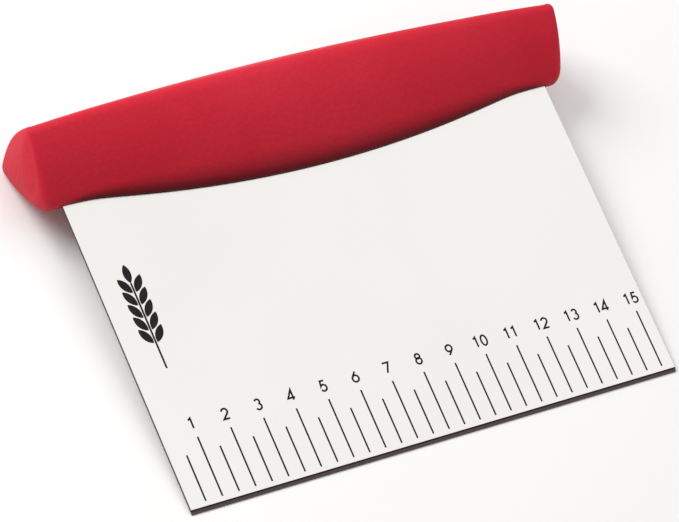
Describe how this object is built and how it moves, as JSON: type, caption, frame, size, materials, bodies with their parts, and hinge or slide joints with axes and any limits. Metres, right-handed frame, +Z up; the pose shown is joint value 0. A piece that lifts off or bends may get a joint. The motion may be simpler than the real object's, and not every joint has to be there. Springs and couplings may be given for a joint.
{
  "type": "bench scraper",
  "caption": "Flat steel dough scraper with a centimetre scale along its edge and a full-width soft grip, lying on its back.",
  "frame": {"origin": "centre of the bounding box, on the surface that the tool lies on", "axes": "+X along the blade in the direction that the scale counts, +Y from the cutting edge towards the handle, +Z up from the bench, out of the ruled face"},
  "size_m": [0.1686, 0.1154, 0.0257],
  "materials": {
    "blade_steel": "smooth stainless plate with a ground edge",
    "soft_grip": "matt soft-touch red with a fine moulded grain",
    "core_plastic": "plain moulded plastic, hidden",
    "rivet_metal": "plain, hidden",
    "etched_black": "laser-etched marks on the ruled face, drawn in the visual model only"
  },
  "bodies": {
    "root": {"blade": "blade_steel", "grip": "soft_grip", "core_front": "core_plastic", "core_rear": "core_plastic", "rivet_outer_left": "rivet_metal", "rivet_inner_left": "rivet_metal", "rivet_inner_right": "rivet_metal", "rivet_outer_right": "rivet_metal"}
  },
  "joints": []
}
